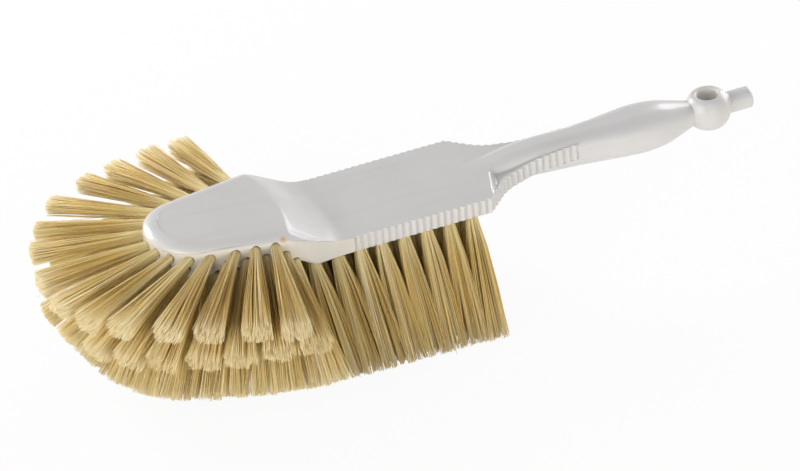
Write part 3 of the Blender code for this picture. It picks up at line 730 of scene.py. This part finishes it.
SIDE_FRAYS = ((-1.0, -0.3, 0.2, 1.0), (1.3, 1.0, 0.5, 0.5))
BOW = 0.35 * MM
TUFT_JITTER = 0.4 * MM
FLOOR_GAP = 0.1 * MM
STRAY_SHARE = 0.012
STRAY_REACH = 2.2 * MM
TIP_THINNING = 0.25
GOLDEN_ANGLE = math.pi * (3 - math.sqrt(5))
CORNER_GAIN = 0.414


def disc_points(count, draw):
    """Jittered sunflower points on the unit disc: radius sqrt((i+0.5)/n), one golden angle on."""
    i = np.arange(count)
    radius = np.sqrt((i + 0.5) / count)
    turn = GOLDEN_ANGLE * i + draw.uniform(0, 2 * math.pi)
    points = np.column_stack([radius * np.cos(turn), radius * np.sin(turn)])
    return points + draw.normal(0, 0.03, points.shape)


def squared(points, amount):
    """Disc points drawn out to the corners of a square: p (1 + amount (sqrt2 - 1) |sin 2t|)."""
    turn = np.arctan2(points[:, 1], points[:, 0])
    return points * (1 + amount * CORNER_GAIN * np.abs(np.sin(2 * turn)))[:, None]


def strand_paths(root, tip, kind, draw):
    """(strands, rings, 3): start + axis t + across s, with s eased from hole to tip."""
    direction = (tip - root) / np.linalg.norm(tip - root)
    start = root + (ROOT_DEPTH - STRAND_DEPTH) * direction
    length = np.linalg.norm(tip - start)
    across, up = (a[0] for a in axes_of(direction[None]))
    flat = kind in ("block", "under")
    sideways = direction[1] / np.hypot(*direction[:2])
    width = KIND_WIDTHS.get(kind, 1.0) * (1.0 if flat else np.interp(sideways, *SIDE_WIDTHS))
    fray = 1.0 if flat else np.interp(sideways, *SIDE_FRAYS)
    disc = disc_points(STRANDS, draw)
    roots = disc * ROOT_RADIUS
    tip_radii = ROW_TIP_RADII if flat else NOSE_TIP_RADII
    tips = squared(disc, TIP_SQUARENESS) * tip_radii * width
    rounding = END_ROUNDING * (disc**2).sum(axis=1)
    locks = draw.permutation(tips)[:LOCKS]
    nearest = np.linalg.norm(tips[:, None] - locks[None], axis=2).argmin(axis=1)
    pull = draw.uniform(0.2, 1.0, LOCKS)[nearest] * LOCK_PULL
    tips += (locks[nearest] - tips) * pull[:, None]
    tips += draw.normal(0, TIP_JITTER * fray, tips.shape)
    tips += draw.normal(0, TUFT_JITTER, (1, 2))
    stray = draw.random(STRANDS) < STRAY_SHARE
    tips[stray] += draw.normal(0, STRAY_REACH, (int(stray.sum()), 2))
    bow = draw.normal(0, BOW, (LOCKS, 2))[nearest] + draw.normal(0, 0.5 * BOW, (STRANDS, 2))
    lock_length = draw.normal(0, LENGTH_JITTER * fray, LOCKS)[nearest]
    shortfall = np.abs(draw.normal(0, LENGTH_JITTER * fray, STRANDS))
    ends = length + lock_length - shortfall - rounding
    held, power = ROW_SPREAD if flat else NOSE_SPREAD
    t = STRAND_TIMES[None, :, None]
    opened = np.clip((t - held) / (1 - held), 0, 1) ** power
    spread = roots[:, None] + (tips - roots)[:, None] * opened
    spread += bow[:, None] * np.sin(math.pi * opened)
    paths = start + ends[:, None, None] * t * direction
    paths = paths + spread[:, :, :1] * across + spread[:, :, 1:] * up
    if flat:
        uneven = np.abs(draw.normal(0, 0.5 * LENGTH_JITTER, STRANDS))
        depth = start[2] - uneven - FLOOR_GAP - rounding
        drop = start[2] - paths[:, -1, 2]
        paths = start + (paths - start) * (depth / drop)[:, None, None]
    return paths, nearest


def strand_tubes(paths, draw):
    """Points of three-sided tubes that thin towards their tips: path + r(1 - ct)(cos, sin)."""
    count = len(paths)
    direction = paths[:, -1] - paths[:, 0]
    direction /= np.linalg.norm(direction, axis=1)[:, None]
    across, up = (axis[:, None] for axis in axes_of(direction))
    corners = np.arange(STRAND_SIDES) * 2 * math.pi / STRAND_SIDES
    turns = (draw.uniform(0, 2 * math.pi, (count, 1)) + corners)[:, :, None]
    circle = np.cos(turns) * across + np.sin(turns) * up
    radius = STRAND_RADIUS * draw.uniform(*STRAND_THICKNESSES, count)[:, None]
    radius = radius * (1 - TIP_THINNING * STRAND_TIMES)
    return paths[:, :, None] + radius[:, :, None, None] * circle[:, None]


print("disc of", len(disc_points(STRANDS, np.random.default_rng(1))), "bristles")

# %% [markdown]
# ## A row of tufts as one mesh
# All tubes have the same faces, so one pattern of corner numbers is repeated with an offset. Each
# point also keeps what the material turns into colour: how far along its bristle it is, a tone
# that is part its tuft's, part its lock's and most its own, where its pale end starts, and how
# pale its tuft's ends get. That amount is partly wear and partly painted light: the upper tufts and
# the ones on the near side, where the light falls most, get the palest ends, and the lower ones,
# which lie in shade, stay darker.


# %% Rows of tufts
def point_values(made, key, column):
    """Stores one number for each point of the mesh, for the material to read."""
    attribute = made.data.attributes.new(key, "FLOAT", "POINT")
    attribute.data.foreach_set("value", column.astype(np.float32))


def tube_faces(count):
    """Quads up each tube and one cap at its tip, for this many tubes."""
    each = STRAND_RINGS * STRAND_SIDES
    sides = quads_between(STRAND_RINGS, STRAND_SIDES)
    cap = np.arange(each - STRAND_SIDES, each)
    offsets = np.arange(count) * each
    return (sides[None] + offsets[:, None, None]).reshape(-1, 4), cap[None] + offsets[:, None]


# Partly wear, partly painted light: upper and near tufts get paler ends where light falls, lower
# ones stay darker in shade.
WEAR_AND_LIGHT = {"upper": 0.75, "middle": 0.5, "lower": 0.35}
ROW_WEAR_AND_LIGHT = 0.45
NEAR_WEAR_AND_LIGHT = 0.25
VALUE_NAMES = ("strand_tone", "pale_start", "strand_share", "tuft_wear_and_light")
PALE_START = (0.66, 0.97)


def row_mesh(name, tufts, seed):
    """One object that holds every bristle of a row. A tone is 0.3 lock + 0.55 own + 0.15 tuft."""
    draw = np.random.default_rng(seed)
    kind = name.split("_")[0]
    tubes, values = [], []
    for root, tip in tufts:
        paths, lock = strand_paths(root, tip, kind, draw)
        tubes.append(strand_tubes(paths, draw))
        shape = tubes[-1].shape[:3]
        tone = 0.3 * draw.random(LOCKS)[lock] + 0.55 * draw.random(STRANDS) + 0.15 * draw.random()
        pale = draw.uniform(*PALE_START, STRANDS)
        worn_and_lit = WEAR_AND_LIGHT.get(kind, ROW_WEAR_AND_LIGHT) + NEAR_WEAR_AND_LIGHT * (tip[1] < root[1]) * draw.random()
        per_strand = [np.broadcast_to(value[:, None, None], shape) for value in (tone, pale)]
        share = np.broadcast_to(STRAND_TIMES[None, :, None], shape)
        values.append(np.stack([*per_strand, share, np.full(shape, worn_and_lit)]))
    points = np.concatenate(tubes).reshape(-1, 3)
    quads, caps = tube_faces(len(points) // (STRAND_RINGS * STRAND_SIDES))
    made = mesh_object(name, points, quads.tolist() + caps.tolist())
    per_point = np.concatenate(values, axis=1).reshape(len(VALUE_NAMES), -1)
    for key, column in zip(VALUE_NAMES, per_point, strict=True):
        point_values(made, key, column)
    made.data.shade_smooth()
    return made


bristles = {}
for seed, (kind, tufts) in enumerate(rows_of.items(), 1):
    piece = row_mesh(f"{kind}_bristles", tufts, seed)
    bristles[kind] = piece
    lowest = min(point.co.z for point in piece.data.vertices)
    print(piece.name, len(piece.data.polygons), "faces, lowest", round(lowest / MM, 2), "mm")

# %% [markdown]
# ## Short names for material nodes
# A material is a graph of small nodes. Making one by hand takes several lines, and these helpers
# bring it down to one, so that the finishes below read as the layers that they are.


# %% Material helpers
def node(tree, kind, **settings):
    """A node with these settings, and its inputs filled by name or number."""
    made = tree.nodes.new(f"ShaderNode{kind}")
    inputs = settings.pop("inputs", {})
    for key, value in settings.items():
        setattr(made, key, value)
    for key, value in inputs.items():
        if isinstance(value, bpy.types.NodeSocket):
            tree.links.new(value, made.inputs[key])
        else:
            made.inputs[key].default_value = value
    return made


def new_material(name, **values):
    """A material, its node tree and its shader with these constant values."""
    material = bpy.data.materials.new(name)
    material.use_nodes = True
    shader = material.node_tree.nodes["Principled BSDF"]
    for key, value in values.items():
        shader.inputs[key.replace("_", " ")].default_value = value
    return material, material.node_tree, shader


def ramp(tree, factor, stops):
    """A colour ramp through (place, colour) stops."""
    made = node(tree, "ValToRGB", inputs={"Fac": factor})
    elements = made.color_ramp.elements
    while len(elements) < len(stops):
        elements.new(0.5)
    for element, (place, colour) in zip(elements, stops):
        element.position = place
        element.color = (*colour, 1)
    return made.outputs["Color"]


def math_node(tree, operation, *values):
    """A Math node's result on these sockets or numbers."""
    return node(tree, "Math", operation=operation, inputs=dict(enumerate(values))).outputs[0]


def span(tree, value, low_end, high_end, to_low=0.0, to_high=1.0):
    """The value's place between two ends, from one result to another, and no further."""
    ends = {"From Min": low_end, "From Max": high_end, "To Min": to_low, "To Max": to_high}
    return node(tree, "MapRange", inputs={"Value": value, **ends}).outputs["Result"]


def mixed(tree, factor, under, over):
    """One colour over another, by this factor."""
    made = node(tree, "Mix", data_type="RGBA")
    for socket, value in zip((0, 6, 7), (factor, under, over)):
        if isinstance(value, bpy.types.NodeSocket):
            tree.links.new(value, made.inputs[socket])
        else:
            made.inputs[socket].default_value = (*value, 1) if isinstance(value, tuple) else value
    return made.outputs[2]


def stored(tree, key):
    """The number that each point of the mesh keeps under this name."""
    return node(tree, "Attribute", attribute_name=key).outputs["Fac"]


print("material helpers ready")

# %% [markdown]
# ## What the plastic's colour depends on
# The walls get painted warm bounce light, creamier than the grey-white top, and a fine brown line
# shows where the two halves of the mould met. Neither follows a noise, so both are worked out from
# the mesh and kept on its points: how much painted bounce light the place gets, and how many
# millimetres above the mould line it lies. Off the walls that number is a large one, so that no
# line shows there.

# %% Values kept on the body's points
SEAM_PLACES = (0, 8.4, 27.4, 45, 61.7, 75, 85, 95, 100)
SEAM_HEIGHTS = (16.2, 16.5, 17.2, 17.1, 16.6, 11.5, 7.0, 4.6, 4.3)
SEAM_END = 100.0
FAR_FROM_SEAM = 9.0
# How strongly each place along the brush gets the painted warm bounce light on its walls.
BOUNCE_PLACES = (0, 95, 112, 240, 290, 320)
BOUNCE_SHARES = (1.0, 0.95, 0.45, 0.25, 0.5, 0.55)
BOUNCE_ABOVE_SEAM = 0.8
UPRIGHT_FROM = 0.85
UPRIGHT_RANGE = 0.6


def read_points(mesh, key):
    """The points' places or normals as (n, 3)."""
    values = np.empty(len(mesh.vertices) * 3, np.float32)
    mesh.vertices.foreach_get(key, values)
    return values.reshape(-1, 3)


places = (read_points(body.data, "co") - ORIGIN) / MM
facing_up = np.abs(read_points(body.data, "normal")[:, 2])
upright = np.clip((UPRIGHT_FROM - facing_up) / UPRIGHT_RANGE, 0, 1)
above_seam = places[:, 2] - np.interp(places[:, 0], SEAM_PLACES, SEAM_HEIGHTS)
on_wall = (places[:, 0] < SEAM_END) & (upright > 0.1)
far_off = np.where(places[:, 0] < SEAM_END, np.sign(above_seam), 1.0) * FAR_FROM_SEAM
point_values(body, "above_seam", np.where(on_wall, above_seam, far_off))
# Painted warm bounce light: upright walls get the creamy bounce-lit colour, the top keeps the
# plastic's grey.
painted_bounce_share = upright * np.interp(places[:, 0], BOUNCE_PLACES, BOUNCE_SHARES)
below_seam = on_wall & (above_seam < 0)
point_values(body, "painted_bounce", painted_bounce_share * np.where(below_seam, 1.0, BOUNCE_ABOVE_SEAM))
print("points near the mould line", int((np.abs(above_seam) < 1).sum()))

# %% [markdown]
# ## Ivory plastic
# The real body is injection moulded and glossy, with fine specks in the plastic, one orange stain
# beside the nose's last hole, and two patches, near the ball and on the slope, that came out less
# smooth. Its walls look creamier than its grey top because of warm bounce light, and that light is
# painted here. A colour with layers over it is enough: the plastic's colour and a painted
# bounce-lit one mixed by uprightness, clouds and faint streaks over them, then the line, the stain
# and the specks. The roughness stays above 0.28, because the denoiser draws an outline where a
# gloss crosses that value.

# %% Body material
# The plastic's own colour, and the same plastic under painted warm bounce light.
PLASTIC_COLOURS = [(0.3, (0.650, 0.635, 0.624)), (0.7, (0.680, 0.667, 0.657))]
BOUNCE_LIT_COLOURS = [(0.3, (0.66, 0.61, 0.52)), (0.7, (0.70, 0.66, 0.58))]
STREAK_COLOUR = (0.50, 0.47, 0.43)
LINE_COLOUR = (0.36, 0.25, 0.12)
STAIN_COLOUR = (0.64, 0.32, 0.07)
SPECK_COLOUR = (0.30, 0.25, 0.19)
STREAK_SCALES = (18.0, 150.0, 150.0)
STAIN_PLACE = ORIGIN + np.array((60.6, -32.6, 16.9)) * MM
PATCH_PLACE = ORIGIN + np.array((292.0, -4.0, 6.0)) * MM
SLOPE_PLACE = ORIGIN + np.array((80.0, -20.0, 12.0)) * MM

ivory, tree, shader = new_material("ivory_plastic", Coat_Weight=0.35, Coat_Roughness=0.14)
coordinate = node(tree, "TexCoord").outputs["Object"]


def noise(scale, detail=4.0, roughness=0.55):
    """A noise of this many features a metre, on the object's own coordinates."""
    inputs = {"Vector": coordinate, "Scale": scale, "Detail": detail, "Roughness": roughness}
    return node(tree, "TexNoise", inputs=inputs).outputs["Fac"]


def near(place, reach, soft):
    """1 within the reach of a place and 0 past reach + soft."""
    ends = {0: coordinate, 1: tuple(place)}
    away = node(tree, "VectorMath", operation="DISTANCE", inputs=ends).outputs["Value"]
    return span(tree, away, reach, reach + soft, 1.0, 0.0)


clouds = noise(30.0, 2.0)
# The second colour is painted light: the warm bounce on the walls, mixed in by the share kept on the
# points.
plastic_tint, bounce_lit = ramp(tree, clouds, PLASTIC_COLOURS), ramp(tree, clouds, BOUNCE_LIT_COLOURS)
colour = mixed(tree, stored(tree, "painted_bounce"), plastic_tint, bounce_lit)
stretched = {0: coordinate, 1: STREAK_SCALES}
drawn_out = node(tree, "VectorMath", operation="MULTIPLY", inputs=stretched).outputs["Vector"]
streaks = node(tree, "TexNoise", inputs={"Vector": drawn_out, "Scale": 1.0, "Detail": 5.0})
faint = span(tree, streaks.outputs["Fac"], 0.5, 0.75, 0.0, 0.16)
colour = mixed(tree, faint, colour, STREAK_COLOUR)
line = span(tree, math_node(tree, "ABSOLUTE", stored(tree, "above_seam")), 0.05, 0.32, 1.0, 0.0)
line = math_node(tree, "MULTIPLY", line, span(tree, noise(160.0), 0.35, 0.6, 0.15, 0.6))
colour = mixed(tree, line, colour, LINE_COLOUR)
stain = near(STAIN_PLACE, 0.6 * MM, 2.0 * MM)
stain = math_node(tree, "MULTIPLY", stain, span(tree, noise(420.0), 0.3, 0.55))
colour = mixed(tree, math_node(tree, "MULTIPLY", stain, 0.95), colour, STAIN_COLOUR)
cells = node(tree, "TexVoronoi", inputs={"Vector": coordinate, "Scale": 75.0})
speck = span(tree, cells.outputs["Distance"], 0.012, 0.028, 0.55, 0.0)
speck = math_node(tree, "MULTIPLY", speck, math_node(tree, "GREATER_THAN", noise(21.0), 0.5))
colour = mixed(tree, speck, colour, SPECK_COLOUR)
tree.links.new(colour, shader.inputs["Base Color"])
ball_patch, slope_patch = near(PATCH_PLACE, 5 * MM, 6 * MM), near(SLOPE_PLACE, 10 * MM, 14 * MM)
patch = math_node(tree, "MAXIMUM", ball_patch, slope_patch)
gloss = span(tree, noise(45.0, 1.0), 0.3, 0.7, 0.285, 0.35)
gloss = math_node(tree, "MULTIPLY_ADD", patch, 0.12, gloss)
tree.links.new(gloss, shader.inputs["Roughness"])
waves = math_node(tree, "MULTIPLY", noise(60.0, 0.0), 0.5)
roughened = math_node(tree, "MULTIPLY_ADD", patch, 0.35, 0.05)
grain = math_node(tree, "MULTIPLY", noise(1100.0, 3.0), roughened)
relief = math_node(tree, "ADD", waves, grain)
bump = node(tree, "Bump", inputs={"Height": relief, "Strength": 0.25, "Distance": 0.6 * MM})
tree.links.new(bump.outputs["Normal"], shader.inputs["Normal"])
body.data.materials.clear()
body.data.materials.append(ivory)
print("ivory plastic has", len(tree.nodes), "nodes")

# %% [markdown]
# ## Straw bristles
# The bristles are natural or dyed to look so: golden, a few darker or nearly white, and bleached
# and split at the worn ends. A photograph of hair could be wrapped round a cone, but then no gap
# would show between bristles. Here every tube has one tone, so light and dark ones lie side by
# side, and each fades to its pale end at its own place. Near the hole they are painted paler
# again, a painted light that makes up for the shade the packed bristles throw on each other, and
# the stub in the hole is painted dark, a painted shade for the depth of the hole.

# %% Bristle material
STRAW_TONES = [
    (0.08, (0.36, 0.21, 0.05)),
    (0.30, (0.70, 0.46, 0.14)),
    (0.50, (0.86, 0.64, 0.22)),
    (0.70, (0.93, 0.76, 0.34)),
    (0.90, (0.98, 0.88, 0.62)),
]
PALE_END = (0.93, 0.82, 0.54)
# Painted light near the hole, and painted shade on the stub inside it.
PAINTED_ROOT_LIGHT = (0.93, 0.84, 0.52)
ROOT_PAINTED_SHADE = (0.26, 0.16, 0.06)

straw, tree, shader = new_material("straw_bristle", Roughness=0.5, Specular_IOR_Level=0.35)
share = stored(tree, "strand_share")
colour = ramp(tree, stored(tree, "strand_tone"), STRAW_TONES)
# The pale ends are bleached wear, scaled per tuft by an amount that is partly painted light.
pale = span(tree, share, stored(tree, "pale_start"), 1.02)
pale = math_node(tree, "MULTIPLY", pale, stored(tree, "tuft_wear_and_light"))
colour = mixed(tree, pale, colour, PALE_END)
# Painted light: bristles near the hole are lightened against the shade they throw on each other.
colour = mixed(tree, span(tree, share, 0.05, 0.35, 0.55, 0.0), colour, PAINTED_ROOT_LIGHT)
# Painted shade: the stub inside the hole is darkened for the hole's depth.
colour = mixed(tree, span(tree, share, 0.03, 0.055), ROOT_PAINTED_SHADE, colour)
tree.links.new(colour, shader.inputs["Base Color"])
for piece in bristles.values():
    piece.data.materials.append(straw)
print("straw bristles on", len(bristles), "pieces")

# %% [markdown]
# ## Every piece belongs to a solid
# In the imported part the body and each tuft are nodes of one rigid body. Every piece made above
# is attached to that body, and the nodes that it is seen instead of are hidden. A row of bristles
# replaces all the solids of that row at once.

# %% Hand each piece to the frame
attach(body, "root")
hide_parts("brush_body")
for kind, piece in bristles.items():
    stood_for = [name for name in names if name.startswith(kind)]
    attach(piece, "root")
    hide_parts(*stood_for)
print(len(bristles) + 1, "pieces stand in for", len(names), "nodes")

# %% [markdown]
# ## A pale studio
# The brush lies on a plain pale floor under soft light. Three large area lights make the broad
# highlights on the nose, the slope and the handle, a small one touches the handle's end, and one
# in front lights the near side without being mirrored in the flat top. A grey sky fills the rest.
# Making the floor white with stronger light would bleach the plastic, so part of its colour is a
# white emission that only the camera and mirroring rays see, and the soft shadow stays.

# %% Floor
FLOOR_COLOUR = (0.86, 0.86, 0.86, 1)
FLOOR_WHITENESS = 0.93
floor_corners = [(-3, -3, 0), (3, -3, 0), (3, 3, 0), (-3, 3, 0)]
floor = mesh_object("studio_floor", floor_corners, [(0, 1, 2, 3)])
floor_paint, tree, shader = new_material("floor_paint", Base_Color=FLOOR_COLOUR, Roughness=0.7)
glow = node(tree, "Emission", inputs={"Color": (1, 1, 1, 1), "Strength": 1.0})
rays = node(tree, "LightPath").outputs
seen = math_node(tree, "MAXIMUM", rays["Is Glossy Ray"], rays["Is Transmission Ray"])
seen = math_node(tree, "MAXIMUM", rays["Is Camera Ray"], seen)
lift = math_node(tree, "MULTIPLY", seen, FLOOR_WHITENESS)
mix = node(tree, "MixShader", inputs={0: lift, 1: shader.outputs[0], 2: glow.outputs[0]})
tree.links.new(mix.outputs[0], tree.nodes["Material Output"].inputs["Surface"])
floor.data.materials.append(floor_paint)
print("floor of", len(floor.data.polygons), "face")

# %% Lights
LIT_PLACE = Vector((0.0, 0.0, 0.05))
SKY_COLOURS = [
    (0.0, (0.62, 0.62, 0.61)),
    (0.35, (0.43, 0.43, 0.435)),
    (1.0, (0.178, 0.178, 0.188)),
]


def area_light(name, direction, distance, size, power, mirrored=True):
    """A square soft light that looks at the brush from this direction, mirrored in gloss or not."""
    light = bpy.data.lights.new(name, "AREA")
    light.energy = power
    light.size = size
    made = bpy.data.objects.new(name, light)
    direction = Vector(direction).normalized()
    made.location = LIT_PLACE + direction * distance
    made.rotation_euler = direction.to_track_quat("Z", "Y").to_euler()
    made.visible_glossy = mirrored
    bpy.context.scene.collection.objects.link(made)


area_light("key_light", (-0.86, -0.48, 0.36), 1.2, 0.8, 7.4)
area_light("front_light", (0.22, -0.97, 0.12), 1.3, 0.8, 8.2, mirrored=False)
area_light("left_softbox", (-0.50, 0.78, 0.38), 1.0, 0.45, 6.4)
area_light("right_softbox", (0.88, 0.40, 0.26), 1.0, 0.65, 4.8)
area_light("handle_light", (0.63, 0.65, 0.42), 1.0, 0.2, 0.9)
world = bpy.data.worlds.new("studio")
bpy.context.scene.world = world
world.use_nodes = True
tree = world.node_tree
sky_direction = node(tree, "TexCoord").outputs["Generated"]
sky_height = node(tree, "SeparateXYZ", inputs={0: sky_direction}).outputs["Z"]
gradient = ramp(tree, sky_height, SKY_COLOURS)
tree.links.new(gradient, tree.nodes["Background"].inputs["Color"])
tree.nodes["Background"].inputs["Strength"].default_value = 1.0
print("lights", [item.name for item in bpy.data.lights])

# %% [markdown]
# ## The camera
# The photograph shows hardly any perspective, so the camera is an orthographic one. Its axes were
# fitted to the block's straight edges, and one place of the brush, known in the frame and in the
# picture, ties the two together.

# %% Camera
PIXELS_PER_METRE = 2000
PICTURE_WIDTH = 800
PICTURE_MIDDLE = (400, 235.5)
ANCHOR_PIXEL = (468.4, 176.4)
ANCHOR = Vector((0.04082, -0.00024, 0.06485))
CAMERA_DISTANCE = 2

right = Vector((0.914, -0.402, -0.053)).normalized()
upward = Vector((0.260, 0.483, 0.836)).normalized()
backward = right.cross(upward).normalized()
upward = backward.cross(right)
aside, down = (middle - pixel for middle, pixel in zip(PICTURE_MIDDLE, ANCHOR_PIXEL))
centre = ANCHOR + (right * aside - upward * down) / PIXELS_PER_METRE
camera = bpy.data.objects.new("camera", bpy.data.cameras.new("camera"))
camera.data.type = "ORTHO"
camera.data.ortho_scale = PICTURE_WIDTH / PIXELS_PER_METRE
turn = Matrix((right, upward, backward)).transposed().to_4x4()
camera.matrix_world = Matrix.Translation(centre + backward * CAMERA_DISTANCE) @ turn
bpy.context.scene.collection.objects.link(camera)
bpy.context.scene.camera = camera
bpy.context.scene.view_settings.view_transform = "Standard"
print("camera at", tuple(round(value, 3) for value in camera.matrix_world.translation))
